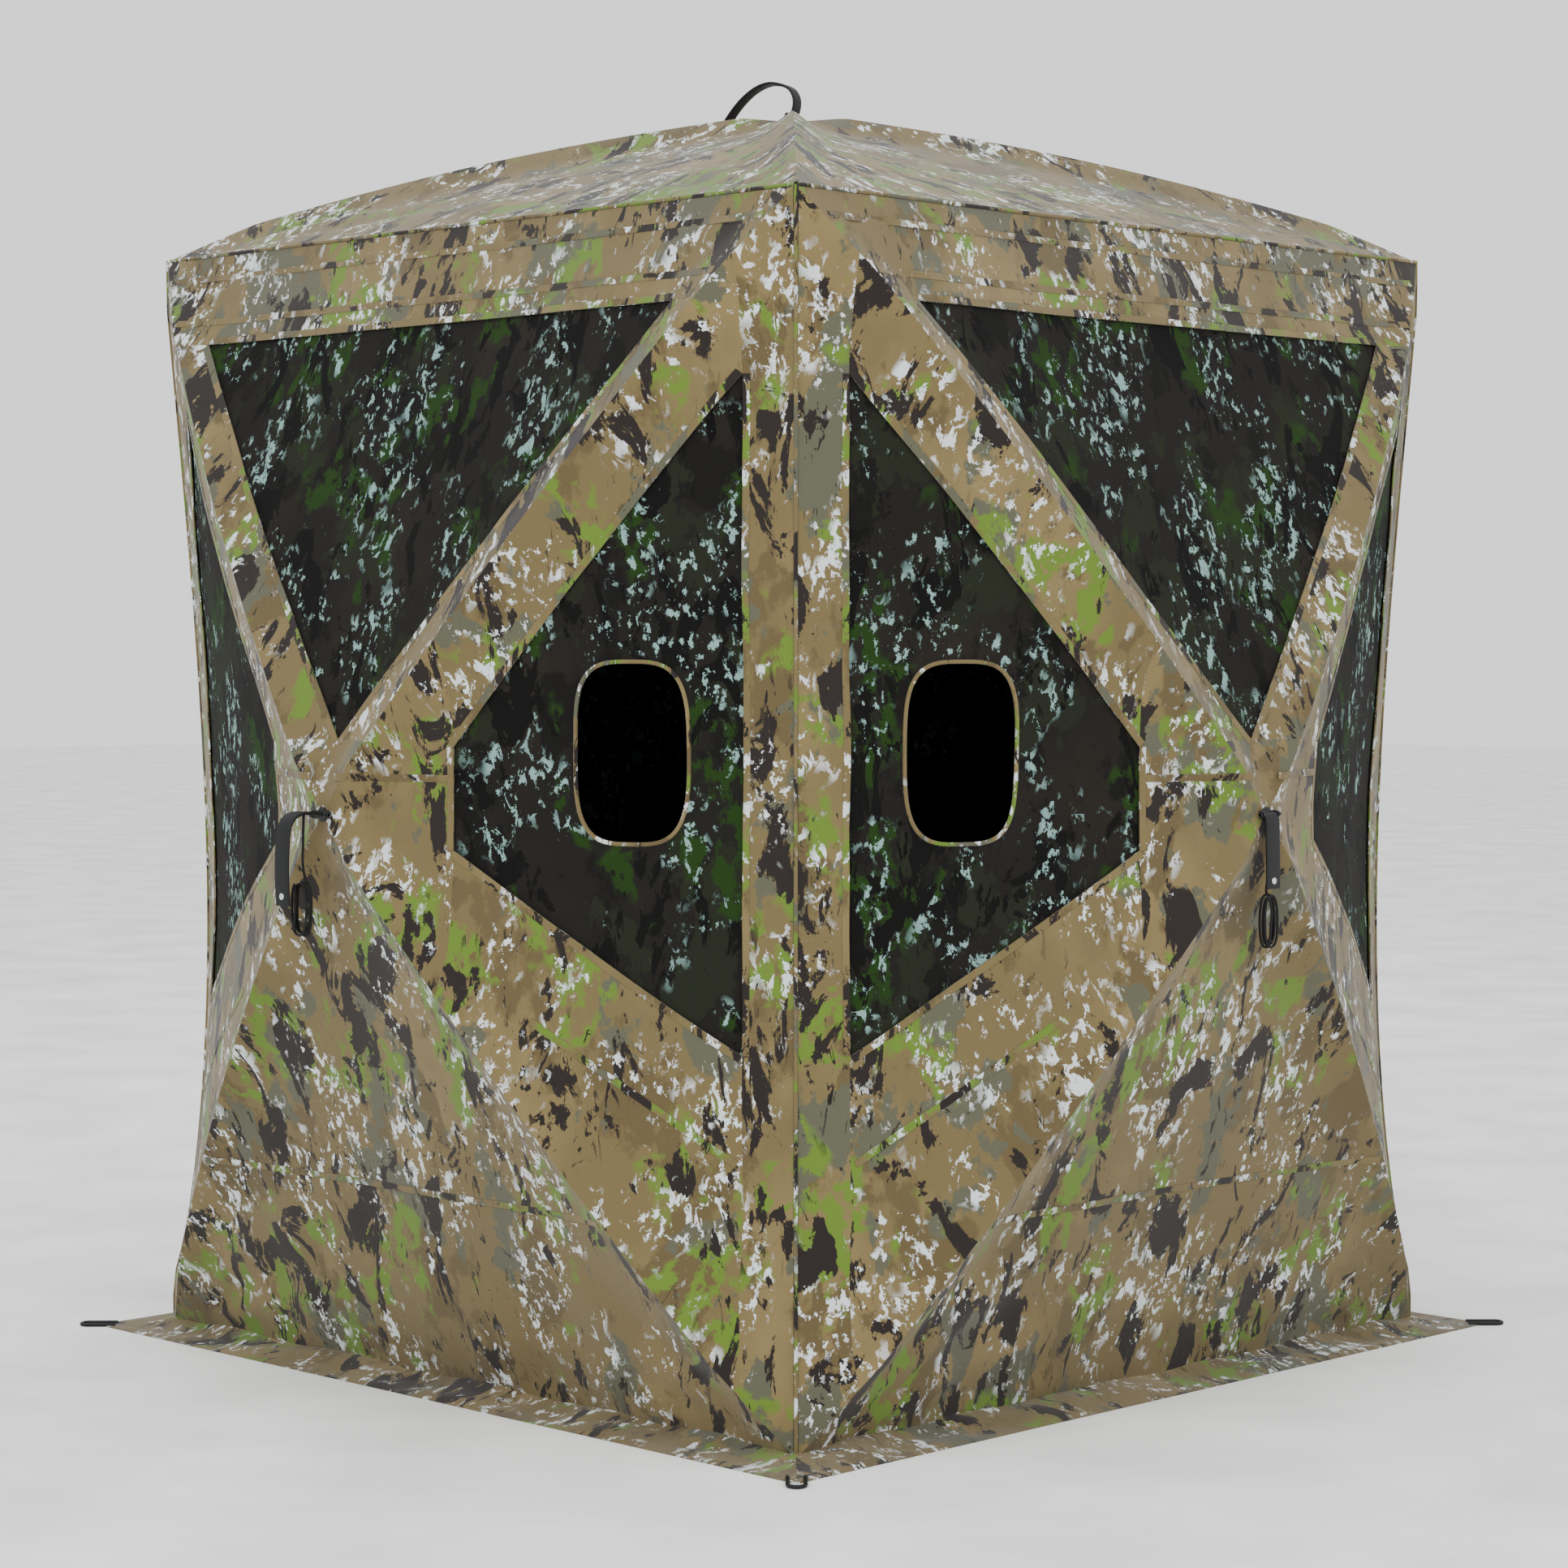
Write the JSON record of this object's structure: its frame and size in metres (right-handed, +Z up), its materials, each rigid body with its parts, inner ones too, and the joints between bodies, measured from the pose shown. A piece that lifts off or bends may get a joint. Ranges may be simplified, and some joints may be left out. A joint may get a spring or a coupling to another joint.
{
  "type": "pop up ground blind",
  "caption": "Square hub-style pop-up hunting blind in camouflage cloth: cone-shaped walls and roof on sprung hubs, mesh windows, oval shooting ports, ground skirt.",
  "frame": {"origin": "on the ground, at the middle of the square base", "axes": "+Z up; the walls face -Y (front), +X (right), +Y (back) and -X (left)"},
  "size_m": [2.042, 2.1654, 2.1095],
  "materials": {
    "camo_shell": "printed camouflage polyester, with dark window mesh",
    "camo_binding": "folded polyester binding",
    "skirt_cloth": "printed camouflage polyester",
    "strap_webbing": "black coated webbing",
    "tie_cord": "black braided cord",
    "hub_plastic": "moulded glass-filled nylon",
    "boot_plastic": "moulded nylon",
    "pole_fibre": "pultruded glass fibre rod with metal sleeve",
    "zip_tape": "black zip tape with coil",
    "zip_metal": "black painted zinc"
  },
  "bodies": {
    "root": {"edge_piping": "camo_binding", "corner_boots": "boot_plastic", "ground_skirt": "skirt_cloth"},
    "front_hub": {"front_hub": "hub_plastic"},
    "front_upper_east_pole": {"front_upper_east_pole": "pole_fibre"},
    "front_upper_west_pole": {"front_upper_west_pole": "pole_fibre"},
    "front_lower_west_pole": {"front_lower_west_pole": "pole_fibre"},
    "front_lower_east_pole": {"front_lower_east_pole": "pole_fibre"},
    "front_upper_panel": {"front_upper_panel": "camo_shell"},
    "front_lower_panel": {"front_lower_panel": "camo_shell"},
    "front_east_panel": {"front_east_panel": "camo_shell"},
    "front_west_panel": {"front_west_panel": "camo_shell"},
    "right_hub": {"right_hub": "hub_plastic"},
    "right_upper_east_pole": {"right_upper_east_pole": "pole_fibre"},
    "right_upper_west_pole": {"right_upper_west_pole": "pole_fibre"},
    "right_lower_west_pole": {"right_lower_west_pole": "pole_fibre"},
    "right_lower_east_pole": {"right_lower_east_pole": "pole_fibre"},
    "right_upper_panel": {"right_upper_panel": "camo_shell"},
    "right_lower_panel": {"right_lower_panel": "camo_shell"},
    "right_east_panel": {"right_east_panel": "camo_shell"},
    "right_west_panel": {"right_west_panel": "camo_shell"},
    "back_hub": {"back_hub": "hub_plastic"},
    "back_upper_east_pole": {"back_upper_east_pole": "pole_fibre"},
    "back_upper_west_pole": {"back_upper_west_pole": "pole_fibre"},
    "back_lower_west_pole": {"back_lower_west_pole": "pole_fibre"},
    "back_lower_east_pole": {"back_lower_east_pole": "pole_fibre"},
    "back_upper_panel": {"back_upper_panel": "camo_shell"},
    "back_lower_panel": {"back_lower_panel": "camo_shell"},
    "back_east_panel": {"back_east_panel": "camo_shell"},
    "back_west_panel": {"back_west_panel": "camo_shell"},
    "left_hub": {"left_hub": "hub_plastic"},
    "left_upper_east_pole": {"left_upper_east_pole": "pole_fibre"},
    "left_upper_west_pole": {"left_upper_west_pole": "pole_fibre"},
    "left_lower_west_pole": {"left_lower_west_pole": "pole_fibre"},
    "left_lower_east_pole": {"left_lower_east_pole": "pole_fibre"},
    "left_upper_panel": {"left_upper_panel": "camo_shell"},
    "left_lower_panel": {"left_lower_panel": "camo_shell"},
    "left_east_panel": {"left_east_panel": "camo_shell"},
    "door_frame": {"door_zip_tape": "zip_tape"},
    "roof_hub": {"roof_hub": "hub_plastic"},
    "roof_upper_east_pole": {"roof_upper_east_pole": "pole_fibre"},
    "roof_upper_west_pole": {"roof_upper_west_pole": "pole_fibre"},
    "roof_lower_west_pole": {"roof_lower_west_pole": "pole_fibre"},
    "roof_lower_east_pole": {"roof_lower_east_pole": "pole_fibre"},
    "roof_upper_panel": {"roof_upper_panel": "camo_shell"},
    "roof_lower_panel": {"roof_lower_panel": "camo_shell"},
    "roof_east_panel": {"roof_east_panel": "camo_shell"},
    "roof_west_panel": {"roof_west_panel": "camo_shell"},
    "front_strap": {"front_pull_strap": "strap_webbing", "front_tie_cord": "tie_cord", "front_tie_cord_hank": "tie_cord"},
    "right_strap": {"right_pull_strap": "strap_webbing", "right_tie_cord": "tie_cord", "right_tie_cord_hank": "tie_cord"},
    "back_strap": {"back_pull_strap": "strap_webbing"},
    "left_strap": {"left_pull_strap": "strap_webbing"},
    "roof_strap": {"roof_pull_strap": "strap_webbing"},
    "door": {"door_panel": "camo_shell"},
    "upper_slider": {"zip_slider_upper": "zip_metal"},
    "lower_slider": {"zip_slider_lower": "zip_metal"}
  },
  "joints": [
    {"name": "front_hub_push", "type": "slide", "parent": "root", "child": "front_hub", "axis": [0, 1, 0], "range_m": [0, 0.514]},
    {"name": "front_upper_east_pole_turn", "type": "hinge", "parent": "front_hub", "child": "front_upper_east_pole", "pos_m": [0.02423, -0.978, 0.93527], "axis": [0.7703, 0, -0.6377], "range_deg": [0, 27.45]},
    {"name": "front_upper_west_pole_turn", "type": "hinge", "parent": "front_hub", "child": "front_upper_west_pole", "pos_m": [-0.02423, -0.978, 0.93527], "axis": [0.7703, 0, 0.6377], "range_deg": [0, 27.45]},
    {"name": "front_lower_west_pole_turn", "type": "hinge", "parent": "front_hub", "child": "front_lower_west_pole", "pos_m": [-0.02423, -0.978, 0.87673], "axis": [-0.7703, 0, 0.6377], "range_deg": [0, 27.45]},
    {"name": "front_lower_east_pole_turn", "type": "hinge", "parent": "front_hub", "child": "front_lower_east_pole", "pos_m": [0.02423, -0.978, 0.87673], "axis": [-0.7703, 0, -0.6377], "range_deg": [0, 27.45]},
    {"name": "front_upper_panel_turn", "type": "hinge", "parent": "root", "child": "front_upper_panel", "pos_m": [0, -0.745, 1.806], "axis": [1, 0, 0], "range_deg": [0, 32.07]},
    {"name": "front_lower_panel_turn", "type": "hinge", "parent": "root", "child": "front_lower_panel", "pos_m": [0, -0.745, 0.006], "axis": [-1, 0, 0], "range_deg": [0, 32.07]},
    {"name": "front_east_panel_turn", "type": "hinge", "parent": "root", "child": "front_east_panel", "pos_m": [0.745, -0.745, 0.906], "axis": [0, 0, -1], "range_deg": [0, 38.27]},
    {"name": "front_west_panel_turn", "type": "hinge", "parent": "root", "child": "front_west_panel", "pos_m": [-0.745, -0.745, 0.906], "axis": [0, 0, 1], "range_deg": [0, 38.27]},
    {"name": "right_hub_push", "type": "slide", "parent": "root", "child": "right_hub", "axis": [-1, 0, 0], "range_m": [0, 0.514]},
    {"name": "right_upper_east_pole_turn", "type": "hinge", "parent": "right_hub", "child": "right_upper_east_pole", "pos_m": [0.978, 0.02423, 0.93527], "axis": [0, 0.7703, -0.6377], "range_deg": [0, 27.45]},
    {"name": "right_upper_west_pole_turn", "type": "hinge", "parent": "right_hub", "child": "right_upper_west_pole", "pos_m": [0.978, -0.02423, 0.93527], "axis": [0, 0.7703, 0.6377], "range_deg": [0, 27.45]},
    {"name": "right_lower_west_pole_turn", "type": "hinge", "parent": "right_hub", "child": "right_lower_west_pole", "pos_m": [0.978, -0.02423, 0.87673], "axis": [0, -0.7703, 0.6377], "range_deg": [0, 27.45]},
    {"name": "right_lower_east_pole_turn", "type": "hinge", "parent": "right_hub", "child": "right_lower_east_pole", "pos_m": [0.978, 0.02423, 0.87673], "axis": [0, -0.7703, -0.6377], "range_deg": [0, 27.45]},
    {"name": "right_upper_panel_turn", "type": "hinge", "parent": "root", "child": "right_upper_panel", "pos_m": [0.745, 0, 1.806], "axis": [0, 1, 0], "range_deg": [0, 32.07]},
    {"name": "right_lower_panel_turn", "type": "hinge", "parent": "root", "child": "right_lower_panel", "pos_m": [0.745, 0, 0.006], "axis": [0, -1, 0], "range_deg": [0, 32.07]},
    {"name": "right_east_panel_turn", "type": "hinge", "parent": "root", "child": "right_east_panel", "pos_m": [0.745, 0.745, 0.906], "axis": [0, 0, -1], "range_deg": [0, 38.27]},
    {"name": "right_west_panel_turn", "type": "hinge", "parent": "root", "child": "right_west_panel", "pos_m": [0.745, -0.745, 0.906], "axis": [0, 0, 1], "range_deg": [0, 38.27]},
    {"name": "back_hub_push", "type": "slide", "parent": "root", "child": "back_hub", "axis": [0, -1, 0], "range_m": [0, 0.514]},
    {"name": "back_upper_east_pole_turn", "type": "hinge", "parent": "back_hub", "child": "back_upper_east_pole", "pos_m": [-0.02423, 0.978, 0.93527], "axis": [-0.7703, 0, -0.6377], "range_deg": [0, 27.45]},
    {"name": "back_upper_west_pole_turn", "type": "hinge", "parent": "back_hub", "child": "back_upper_west_pole", "pos_m": [0.02423, 0.978, 0.93527], "axis": [-0.7703, 0, 0.6377], "range_deg": [0, 27.45]},
    {"name": "back_lower_west_pole_turn", "type": "hinge", "parent": "back_hub", "child": "back_lower_west_pole", "pos_m": [0.02423, 0.978, 0.87673], "axis": [0.7703, 0, 0.6377], "range_deg": [0, 27.45]},
    {"name": "back_lower_east_pole_turn", "type": "hinge", "parent": "back_hub", "child": "back_lower_east_pole", "pos_m": [-0.02423, 0.978, 0.87673], "axis": [0.7703, 0, -0.6377], "range_deg": [0, 27.45]},
    {"name": "back_upper_panel_turn", "type": "hinge", "parent": "root", "child": "back_upper_panel", "pos_m": [0, 0.745, 1.806], "axis": [-1, 0, 0], "range_deg": [0, 32.07]},
    {"name": "back_lower_panel_turn", "type": "hinge", "parent": "root", "child": "back_lower_panel", "pos_m": [0, 0.745, 0.006], "axis": [1, 0, 0], "range_deg": [0, 32.07]},
    {"name": "back_east_panel_turn", "type": "hinge", "parent": "root", "child": "back_east_panel", "pos_m": [-0.745, 0.745, 0.906], "axis": [0, 0, -1], "range_deg": [0, 38.27]},
    {"name": "back_west_panel_turn", "type": "hinge", "parent": "root", "child": "back_west_panel", "pos_m": [0.745, 0.745, 0.906], "axis": [0, 0, 1], "range_deg": [0, 38.27]},
    {"name": "left_hub_push", "type": "slide", "parent": "root", "child": "left_hub", "axis": [1, 0, 0], "range_m": [0, 0.514]},
    {"name": "left_upper_east_pole_turn", "type": "hinge", "parent": "left_hub", "child": "left_upper_east_pole", "pos_m": [-0.978, -0.02423, 0.93527], "axis": [0, -0.7703, -0.6377], "range_deg": [0, 27.45]},
    {"name": "left_upper_west_pole_turn", "type": "hinge", "parent": "left_hub", "child": "left_upper_west_pole", "pos_m": [-0.978, 0.02423, 0.93527], "axis": [0, -0.7703, 0.6377], "range_deg": [0, 27.45]},
    {"name": "left_lower_west_pole_turn", "type": "hinge", "parent": "left_hub", "child": "left_lower_west_pole", "pos_m": [-0.978, 0.02423, 0.87673], "axis": [0, 0.7703, 0.6377], "range_deg": [0, 27.45]},
    {"name": "left_lower_east_pole_turn", "type": "hinge", "parent": "left_hub", "child": "left_lower_east_pole", "pos_m": [-0.978, -0.02423, 0.87673], "axis": [0, 0.7703, -0.6377], "range_deg": [0, 27.45]},
    {"name": "left_upper_panel_turn", "type": "hinge", "parent": "root", "child": "left_upper_panel", "pos_m": [-0.745, 0, 1.806], "axis": [0, -1, 0], "range_deg": [0, 32.07]},
    {"name": "left_lower_panel_turn", "type": "hinge", "parent": "root", "child": "left_lower_panel", "pos_m": [-0.745, 0, 0.006], "axis": [0, 1, 0], "range_deg": [0, 32.07]},
    {"name": "left_east_panel_turn", "type": "hinge", "parent": "root", "child": "left_east_panel", "pos_m": [-0.745, -0.745, 0.906], "axis": [0, 0, -1], "range_deg": [0, 38.27]},
    {"name": "door_frame_turn", "type": "hinge", "parent": "root", "child": "door_frame", "pos_m": [-0.745, 0.745, 0.906], "axis": [0, 0, 1], "range_deg": [0, 38.27]},
    {"name": "roof_hub_push", "type": "slide", "parent": "root", "child": "roof_hub", "axis": [0, 0, -1], "range_m": [0, 0.47]},
    {"name": "roof_upper_east_pole_turn", "type": "hinge", "parent": "roof_hub", "child": "roof_upper_east_pole", "pos_m": [0.02687, 0.02687, 2.017], "axis": [0.7071, -0.7071, 0], "range_deg": [0, 28.11]},
    {"name": "roof_upper_west_pole_turn", "type": "hinge", "parent": "roof_hub", "child": "roof_upper_west_pole", "pos_m": [-0.02687, 0.02687, 2.017], "axis": [0.7071, 0.7071, 0], "range_deg": [0, 28.11]},
    {"name": "roof_lower_west_pole_turn", "type": "hinge", "parent": "roof_hub", "child": "roof_lower_west_pole", "pos_m": [-0.02687, -0.02687, 2.017], "axis": [-0.7071, 0.7071, 0], "range_deg": [0, 28.11]},
    {"name": "roof_lower_east_pole_turn", "type": "hinge", "parent": "roof_hub", "child": "roof_lower_east_pole", "pos_m": [0.02687, -0.02687, 2.017], "axis": [-0.7071, -0.7071, 0], "range_deg": [0, 28.11]},
    {"name": "roof_upper_panel_turn", "type": "hinge", "parent": "root", "child": "roof_upper_panel", "pos_m": [0, 0.745, 1.806], "axis": [1, 0, 0], "range_deg": [0, 35.21]},
    {"name": "roof_lower_panel_turn", "type": "hinge", "parent": "root", "child": "roof_lower_panel", "pos_m": [0, -0.745, 1.806], "axis": [-1, 0, 0], "range_deg": [0, 35.21]},
    {"name": "roof_east_panel_turn", "type": "hinge", "parent": "root", "child": "roof_east_panel", "pos_m": [0.745, 0, 1.806], "axis": [0, -1, 0], "range_deg": [0, 35.21]},
    {"name": "roof_west_panel_turn", "type": "hinge", "parent": "root", "child": "roof_west_panel", "pos_m": [-0.745, 0, 1.806], "axis": [0, 1, 0], "range_deg": [0, 35.21]},
    {"name": "front_strap_swing", "type": "hinge", "parent": "front_hub", "child": "front_strap", "pos_m": [0, -1.0109, 0.906], "axis": [-1, 0, 0], "range_deg": [0, 24.5]},
    {"name": "right_strap_swing", "type": "hinge", "parent": "right_hub", "child": "right_strap", "pos_m": [1.0109, 0, 0.906], "axis": [0, -1, 0], "range_deg": [0, 24.5]},
    {"name": "back_strap_swing", "type": "hinge", "parent": "back_hub", "child": "back_strap", "pos_m": [0, 1.0109, 0.906], "axis": [1, 0, 0], "range_deg": [0, 24.5]},
    {"name": "left_strap_swing", "type": "hinge", "parent": "left_hub", "child": "left_strap", "pos_m": [-1.0109, 0, 0.906], "axis": [0, 1, 0], "range_deg": [0, 24.5]},
    {"name": "roof_strap_swing", "type": "hinge", "parent": "roof_hub", "child": "roof_strap", "pos_m": [0, 0, 2.0499], "axis": [-0.28, 0.96, 0], "range_deg": [0, 36.5]},
    {"name": "door_swing", "type": "hinge", "parent": "door_frame", "child": "door", "pos_m": [-0.745, 0.745, 0.906], "axis": [0, 0, -1], "range_deg": [0, 100]},
    {"name": "upper_slider_run", "type": "slide", "parent": "door", "child": "upper_slider", "axis": [0.2079, 0.6028, 0.7703], "range_m": [0, 0.919]},
    {"name": "lower_slider_run", "type": "slide", "parent": "door", "child": "lower_slider", "axis": [0.2079, 0.6028, -0.7703], "range_m": [0, 0.919]}
  ],
  "couplings": [
    {"joint": "front_upper_east_pole_turn", "follows": "front_hub_push", "rad_per_m": 0.92525},
    {"joint": "front_upper_west_pole_turn", "follows": "front_hub_push", "rad_per_m": 0.92525},
    {"joint": "front_lower_west_pole_turn", "follows": "front_hub_push", "rad_per_m": 0.92525},
    {"joint": "front_lower_east_pole_turn", "follows": "front_hub_push", "rad_per_m": 0.92525},
    {"joint": "front_upper_panel_turn", "follows": "front_hub_push", "rad_per_m": 1.0823},
    {"joint": "front_lower_panel_turn", "follows": "front_hub_push", "rad_per_m": 1.0823},
    {"joint": "front_east_panel_turn", "follows": "front_hub_push", "rad_per_m": 1.2925},
    {"joint": "front_west_panel_turn", "follows": "front_hub_push", "rad_per_m": 1.2925},
    {"joint": "right_upper_east_pole_turn", "follows": "right_hub_push", "rad_per_m": 0.92525},
    {"joint": "right_upper_west_pole_turn", "follows": "right_hub_push", "rad_per_m": 0.92525},
    {"joint": "right_lower_west_pole_turn", "follows": "right_hub_push", "rad_per_m": 0.92525},
    {"joint": "right_lower_east_pole_turn", "follows": "right_hub_push", "rad_per_m": 0.92525},
    {"joint": "right_upper_panel_turn", "follows": "right_hub_push", "rad_per_m": 1.0823},
    {"joint": "right_lower_panel_turn", "follows": "right_hub_push", "rad_per_m": 1.0823},
    {"joint": "right_east_panel_turn", "follows": "right_hub_push", "rad_per_m": 1.2925},
    {"joint": "right_west_panel_turn", "follows": "right_hub_push", "rad_per_m": 1.2925},
    {"joint": "back_upper_east_pole_turn", "follows": "back_hub_push", "rad_per_m": 0.92525},
    {"joint": "back_upper_west_pole_turn", "follows": "back_hub_push", "rad_per_m": 0.92525},
    {"joint": "back_lower_west_pole_turn", "follows": "back_hub_push", "rad_per_m": 0.92525},
    {"joint": "back_lower_east_pole_turn", "follows": "back_hub_push", "rad_per_m": 0.92525},
    {"joint": "back_upper_panel_turn", "follows": "back_hub_push", "rad_per_m": 1.0823},
    {"joint": "back_lower_panel_turn", "follows": "back_hub_push", "rad_per_m": 1.0823},
    {"joint": "back_east_panel_turn", "follows": "back_hub_push", "rad_per_m": 1.2925},
    {"joint": "back_west_panel_turn", "follows": "back_hub_push", "rad_per_m": 1.2925},
    {"joint": "left_upper_east_pole_turn", "follows": "left_hub_push", "rad_per_m": 0.92525},
    {"joint": "left_upper_west_pole_turn", "follows": "left_hub_push", "rad_per_m": 0.92525},
    {"joint": "left_lower_west_pole_turn", "follows": "left_hub_push", "rad_per_m": 0.92525},
    {"joint": "left_lower_east_pole_turn", "follows": "left_hub_push", "rad_per_m": 0.92525},
    {"joint": "left_upper_panel_turn", "follows": "left_hub_push", "rad_per_m": 1.0823},
    {"joint": "left_lower_panel_turn", "follows": "left_hub_push", "rad_per_m": 1.0823},
    {"joint": "left_east_panel_turn", "follows": "left_hub_push", "rad_per_m": 1.2925},
    {"joint": "door_frame_turn", "follows": "left_hub_push", "rad_per_m": 1.2925},
    {"joint": "roof_upper_east_pole_turn", "follows": "roof_hub_push", "rad_per_m": 1.0365},
    {"joint": "roof_upper_west_pole_turn", "follows": "roof_hub_push", "rad_per_m": 1.0365},
    {"joint": "roof_lower_west_pole_turn", "follows": "roof_hub_push", "rad_per_m": 1.0365},
    {"joint": "roof_lower_east_pole_turn", "follows": "roof_hub_push", "rad_per_m": 1.0365},
    {"joint": "roof_upper_panel_turn", "follows": "roof_hub_push", "rad_per_m": 1.3002},
    {"joint": "roof_lower_panel_turn", "follows": "roof_hub_push", "rad_per_m": 1.3002},
    {"joint": "roof_east_panel_turn", "follows": "roof_hub_push", "rad_per_m": 1.3002},
    {"joint": "roof_west_panel_turn", "follows": "roof_hub_push", "rad_per_m": 1.3002},
    {"joint": "front_strap_swing", "follows": "front_hub_push", "rad_per_m": 0.81494},
    {"joint": "right_strap_swing", "follows": "right_hub_push", "rad_per_m": 0.81494},
    {"joint": "back_strap_swing", "follows": "back_hub_push", "rad_per_m": 0.81494},
    {"joint": "left_strap_swing", "follows": "left_hub_push", "rad_per_m": 0.81494},
    {"joint": "roof_strap_swing", "follows": "roof_hub_push", "rad_per_m": 1.3368}
  ]
}
